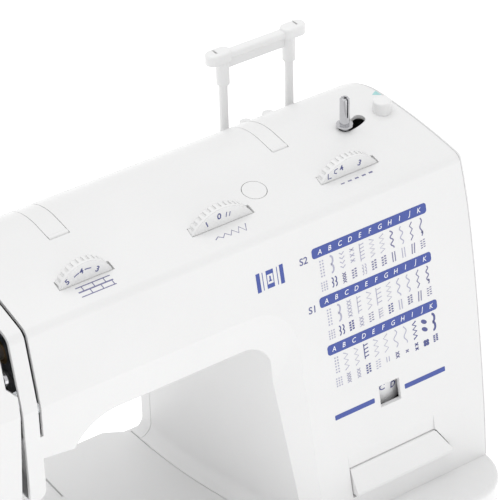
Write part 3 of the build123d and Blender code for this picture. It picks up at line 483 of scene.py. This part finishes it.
def chart():
    """Three rows of lettered bars, each with two lines of generic stitch symbols below."""
    blue = Drawing("chart_bars", FRONT, blue_ink, "machine")
    white = Drawing("chart_letters", FRONT, white_ink, "machine", 0.05, 0.13)
    pale = Drawing("chart_stitches_pale", FRONT, pale_ink, "machine")
    soft = Drawing("chart_stitches_soft", FRONT, violet_ink, "machine")
    dark = Drawing("chart_stitches_dark", FRONT, dark_ink, "machine")
    for row, (z, x0, x1) in enumerate(CHART_BARS):
        v = up_slope(z)
        first = COLUMN_0 + (0.6 if row == 2 else 0.0)
        blue.pill(x0, x1, v, 6.6, 1.9)
        for i, letter in enumerate(LETTERS):
            white.text(letter, first + COLUMN_STEP * i, v, 4.4, slant=0.22, squeeze=0.95)
    for row, (z, _, _) in enumerate(CHART_BARS):
        top = up_slope(z) - 5.2
        mid = top - 11.4
        low0, low1 = top - 20.2, top - 13.8
        for i in range(len(LETTERS)):
            u = COLUMN_0 + COLUMN_STEP * i + 0.5 * row
            if i == 0:
                dots(pale, u, mid, top, 2, 6, 0.95)
                dots(pale, u, low0, low1, 3, 4, 0.9)
            elif i == 1:
                if row == 2:
                    pale.stroke(zigzag(u - 0.4, mid, top, 1.5, 6), 0.55)
                    hatch(pale, u, low0, low1, 1.4, 4, 0.5)
                else:
                    scallops(pale, u, mid + 0.6, top, 1.5, 2, 1.1)
                    scallops(dark, u - 1.2, low0 + 0.4, low1, 0.9, 2, 0.75)
                    scallops(dark, u + 1.2, low0 + 0.4, low1, 0.9, 2, 0.75)
            elif i == 2:
                if row == 1:
                    hatch(pale, u, mid, top, 1.5, 5, 0.5)
                    dash_block(dark, u, low0, low1, 1.1)
                elif row == 0:
                    chevrons(pale, u, mid, top, 1.7, 4, 0.6)
                    hatch(soft, u, low0, low1, 1.3, 4, 0.5)
                else:
                    pale.stroke(zigzag(u, mid, top, 1.4, 6), 0.5)
                    hatch(pale, u, low0, low1, 1.2, 3, 0.5)
            elif i == 3:
                if row == 2:
                    ladder(dark, u, mid + 1.5, top, 1.5, 4, 0.65)
                    dash_block(dark, u, low0, low1, 1.0)
                elif row == 0:
                    hatch(pale, u, mid + 1.0, top, 1.5, 3, 0.6)
                    dash_block(soft, u, low0, low1, 0.85)
                else:
                    ladder(pale, u, mid, top, 1.3, 4, 0.5)
                    hatch(pale, u, low0, low1, 1.4, 3, 0.55)
            elif i == 4:
                if row == 0:
                    ladder(pale, u, mid, top, 1.5, 5, 0.55)
                    scallops(pale, u - 1.0, low0, low1, 0.8, 3, 0.5)
                    scallops(pale, u + 1.0, low0, low1, 0.8, 3, 0.5)
                else:
                    pale.stroke(zigzag(u, mid, top, 1.6, 6), 0.55)
                    dash_block(soft if row == 1 else pale, u, low0, low1, 0.6)
            elif i == 5:
                if row == 0:
                    pale.stroke(zigzag(u, mid, top, 1.6, 8), 0.55)
                    dash_block(soft, u, low0, low1, 0.9)
                elif row == 1:
                    ladder(pale, u, mid, top, 1.7, 4, 0.55)
                    ladder(pale, u, low0, low1, 1.4, 4, 0.5)
                else:
                    pale.stroke(zigzag(u, mid, top, 1.5, 5), 0.5)
                    bars(pale, u, low0 + 2.0, low1 - 1.0, 0.9, 0.6)
            elif i == 6:
                if row == 2:
                    pale.stroke(wave(u, mid, top, 1.3, 1.5), 0.55)
                    hatch(soft, u, low0 + 1.5, low1 - 0.5, 1.3, 2, 0.7)
                else:
                    pale.stroke(zigzag(u, mid, top, 1.6, 7), 0.55)
                    dash_block(dark if row == 1 else soft, u, low0, low1, 0.9)
            elif i == 7:
                tint = pale if row else soft
                tint.stroke(wave(u, mid, top, 1.0, 2.5 - row * 0.5, 1.0), 0.8 - 0.1 * row)
                if row == 2:
                    hatch(soft, u, low0 + 2.0, low1 - 1.5, 1.0, 1, 0.7)
                else:
                    bars(soft if row == 0 else pale, u, low0, low1, 0.9, 0.7)
            elif i == 8:
                if row == 2:
                    dark.stroke(zigzag(u, mid, top, 1.3, 7), 0.95)
                    hatch(dark, u, low0 + 0.6, low1, 1.2, 2, 0.7)
                else:
                    pale.stroke(wave(u, mid, top, 1.0, 2.0), 0.7)
                    if row == 0:
                        bars(pale, u, low0, low1, 0.9, 0.6)
                    else:
                        dash_block(soft, u, low0 + 0.5, low1, 0.9)
            elif i == 9:
                if row == 2:
                    leaves(dark, u, mid + 1.0, top - 0.3, 2, 2.4)
                    for a, b in ((-0.95, 0.95), (0.95, 0.95), (-0.95, -0.95), (0.95, -0.95)):
                        dark.disc(u + a, (low0 + low1) / 2 + b, 1.15)
                else:
                    soft.stroke(zigzag(u, mid, top, 0.9, 5), 0.7)
                    bars(soft, u, low0, low1, 0.9, 0.7, 0.3)
            elif row == 2:
                scallops(dark, u, mid + 0.4, top, 1.5, 2, 1.5)
                dash_block(dark, u, low0 + 1.2, low1 - 0.4, 0.9)
            else:
                soft.stroke(wave(u, mid, top, 0.8, 1.5 + row), 0.8)
                soft.disc(u + 0.4, mid + 2.2, 0.8)
                dash_block(soft, u, low0 + 0.4, low1, 0.6)
    for x0, x1 in WINDOW_BARS:
        blue.pill(x0, x1, up_slope(WINDOW_BAR_Z), 3.2, 0.5)
    for d in (blue, white, pale, soft, dark):
        d.done()
    labels = Drawing("chart_labels", FRONT, dark_ink, "machine")
    labels.text("S2", 42.2, up_slope(247.3), 6.2, slant=0.06, bold=0.06)
    labels.text("S1", 43.2, up_slope(216.2), 6.2, slant=0.06, bold=0.06)
    labels.done()


def foot_icon():
    """Generic presser-foot sign: a frame of bars around an upright and its base."""
    d = Drawing("foot_icon", FRONT, blue_ink, "machine")
    v = up_slope(245.3)
    d.box(9.4, 12.0, v - 6.0, v + 6.0)
    d.box(25.5, 28.1, v - 6.0, v + 6.0)
    d.box(16.2, 21.2, v + 3.0, v + 5.6)
    d.box(16.2, 21.2, v - 5.6, v - 3.0)
    d.stroke([(13.8, v - 5.6), (13.8, v + 5.6)], 0.45)
    d.stroke([(23.7, v - 5.6), (23.7, v + 5.6)], 0.45)
    d.stroke([(16.5, v - 3.0), (16.5, v + 3.0)], 0.45)
    d.stroke([(20.9, v - 3.0), (20.9, v + 3.0)], 0.45)
    d.stroke([(18.7, v - 1.4), (18.7, v + 1.8)], 0.9)
    d.stroke([(17.6, v - 1.2), (19.8, v - 1.2)], 0.7)
    d.done()


def drum_letters():
    """Two of the letters on the pattern drum that show through the window."""
    for name, letter, across, z in (("left", "C", -2.2, 146.2), ("right", "D", 6.4, 144.6)):
        a = across / DRUM_RADIUS
        origin = (DRUM_X + DRUM_INK_RADIUS * sin(a), DRUM_Y - DRUM_INK_RADIUS * cos(a), z)
        sheet = Sheet(origin, (cos(a), sin(a), 0), (0, 0, 1))
        d = Drawing("drum_letter_" + name, sheet, dark_ink, "drum", 0.03, 0.12)
        d.text(letter, 0, 0, 6.2, bold=0.08)
        d.done()


def dial_numbers():
    """Plain numbers and marks on the faces of the three dials."""
    sheet = Sheet((0, DIAL_FACE_Y, 0), (1, 0, 0), (0, 0, 1))
    tension = Drawing("tension_numbers", sheet, dark_ink, "tension_control")
    for digit, u, v, turn in (("5", -99.1, 279.3, 0.5), ("4", -89.8, 282.7, 0.12),
                              ("3", -79.6, 280.1, -0.45)):
        tension.text(digit, u, v, 5.0, turn=turn, bold=0.1)
    for start, stop in ((-34, -17), (-3, 18)):
        arc = [(TENSION_X + TENSION_ARC_RADIUS * sin(radians(a)),
                TENSION_Z + TENSION_ARC_RADIUS * cos(radians(a))) for a in range(start, stop, 3)]
        tension.stroke(arc, 0.6)
    tension.done()
    width = Drawing("width_numbers", sheet, dark_ink, "width_control")
    width.text("1", -7.6, 280.2, 5.2, turn=0.35, bold=0.1)
    width.text("0", 0.8, 282.4, 5.6, turn=0.08, bold=0.1)
    width.stroke([(5.4, 280.4), (5.9, 283.4)], 0.5)
    width.stroke([(7.6, 280.0), (8.3, 282.9)], 0.5)
    width.done()
    length = Drawing("length_numbers", sheet, dark_ink, "length_control")
    for digit, u, v, turn in (("4", 85.8, 281.9, 0.2), ("3", 98.8, 280.7, -0.3)):
        length.text(digit, u, v, 5.2, turn=turn, bold=0.1)
    length.stroke([(76.4, 281.4), (76.4, 277.8), (78.8, 277.8)], 0.6)
    length.stroke([(83.2, 282.6), (81.2, 282.2), (80.8, 280.2), (82.6, 279.4)], 0.6)
    length.done()


def top_marks():
    """Small printed symbols in front of each dial and by the winder stopper."""
    shell = nodes["front_cover"]
    corners = [shell.matrix_world @ v.co for v in shell.data.vertices]
    surface = BVHTree.FromPolygons(corners, [list(f.vertices) for f in shell.data.polygons])
    sheet = Sheet((0, 0, 300), (1, 0, 0), (0, 1, 0))
    d = Drawing("top_marks", sheet, violet_ink, "machine", 0.03, 0.1)
    for y in (-8.5, -12.0, -15.5):
        d.stroke([(-96 + 2.2 * k, y) for k in range(11)], 0.9 if y == -12.0 else 0.6)
    for x in (-92.5, -85.5, -78.5):
        d.stroke([(x, -8.5), (x, -12.0)], 0.5)
        d.stroke([(x + 3.5, -12.0), (x + 3.5, -15.5)], 0.5)
    swing = []
    for k in range(10):
        reach = 0.7 + 1.9 * k / 9
        swing.append((-7.3 + 22.1 * k / 9, -13.0 + (reach if k % 2 else -reach)))
    d.stroke(swing, 0.5)
    for k in range(5):
        d.stroke([(82 + 5 * k, -10.3), (84.6 + 5 * k, -10.3)], 0.7 + 0.1 * k)
    d.stroke([(-16.5, 0.9), (-12.1, 3.1)], 0.6)
    d.drape(surface)
    d.done()
    teal = Drawing("winder_arrow_teal", sheet, teal_ink, "machine", 0.03, 0.1)
    teal.polygon([(146.6, 46.4), (151.4, 43.4), (151.0, 48.8)])
    teal.drape(surface)
    teal.done()


chart()
foot_icon()
drum_letters()
dial_numbers()
top_marks()


# ---- lights, floor, world ----
def floor_plane():
    """A wide pale floor that also glows a little, so that no edge or horizon shows."""
    material, tree, shader = new_material("floor")
    speck = noise(tree, 9.0, 3.0)
    tone = ramp(tree, speck.outputs["Fac"], [(0.3, (0.90, 0.90, 0.90)), (0.7, (0.93, 0.93, 0.93))])
    tree.links.new(tone.outputs["Color"], shader.inputs["Base Color"])
    shader.inputs["Roughness"].default_value = 0.9
    shader.inputs["Emission Color"].default_value = (1, 1, 1, 1)
    shader.inputs["Emission Strength"].default_value = 0.5
    bm = bmesh.new()
    bmesh.ops.create_grid(bm, x_segments=4, y_segments=4, size=12)
    mesh = bpy.data.meshes.new("floor")
    bm.to_mesh(mesh)
    bm.free()
    mesh.materials.append(material)
    floor = bpy.data.objects.new("floor", mesh)
    floor.location.z = -0.0002
    scene.collection.objects.link(floor)


def area_light(name, position, target, size, power):
    data = bpy.data.lights.new(name, "AREA")
    data.shape = "RECTANGLE"
    data.size, data.size_y = size
    data.energy = power
    lamp = bpy.data.objects.new(name, data)
    lamp.location = position
    lamp.rotation_mode = "QUATERNION"
    lamp.rotation_quaternion = (Vector(target) - Vector(position)).to_track_quat("-Z", "Y")
    scene.collection.objects.link(lamp)


floor_plane()
area_light("key_light", (0.7, -1.4, 1.9), (0, 0, 0.2), (1.6, 1.6), 0.5)
area_light("top_light", (0.0, 0.3, 2.2), (0, 0, 0.2), (1.8, 1.8), 14)
area_light("fill_light", (-1.3, -1.5, 0.45), (0, 0, 0.12), (1.4, 0.8), 2.0)
world = bpy.data.worlds.new("studio")
world.use_nodes = True
background = world.node_tree.nodes["Background"]
background.inputs["Color"].default_value = (1, 1, 1, 1)
background.inputs["Strength"].default_value = 0.84
scene.world = world
scene.view_settings.view_transform = "Standard"
scene.view_settings.look = "None"
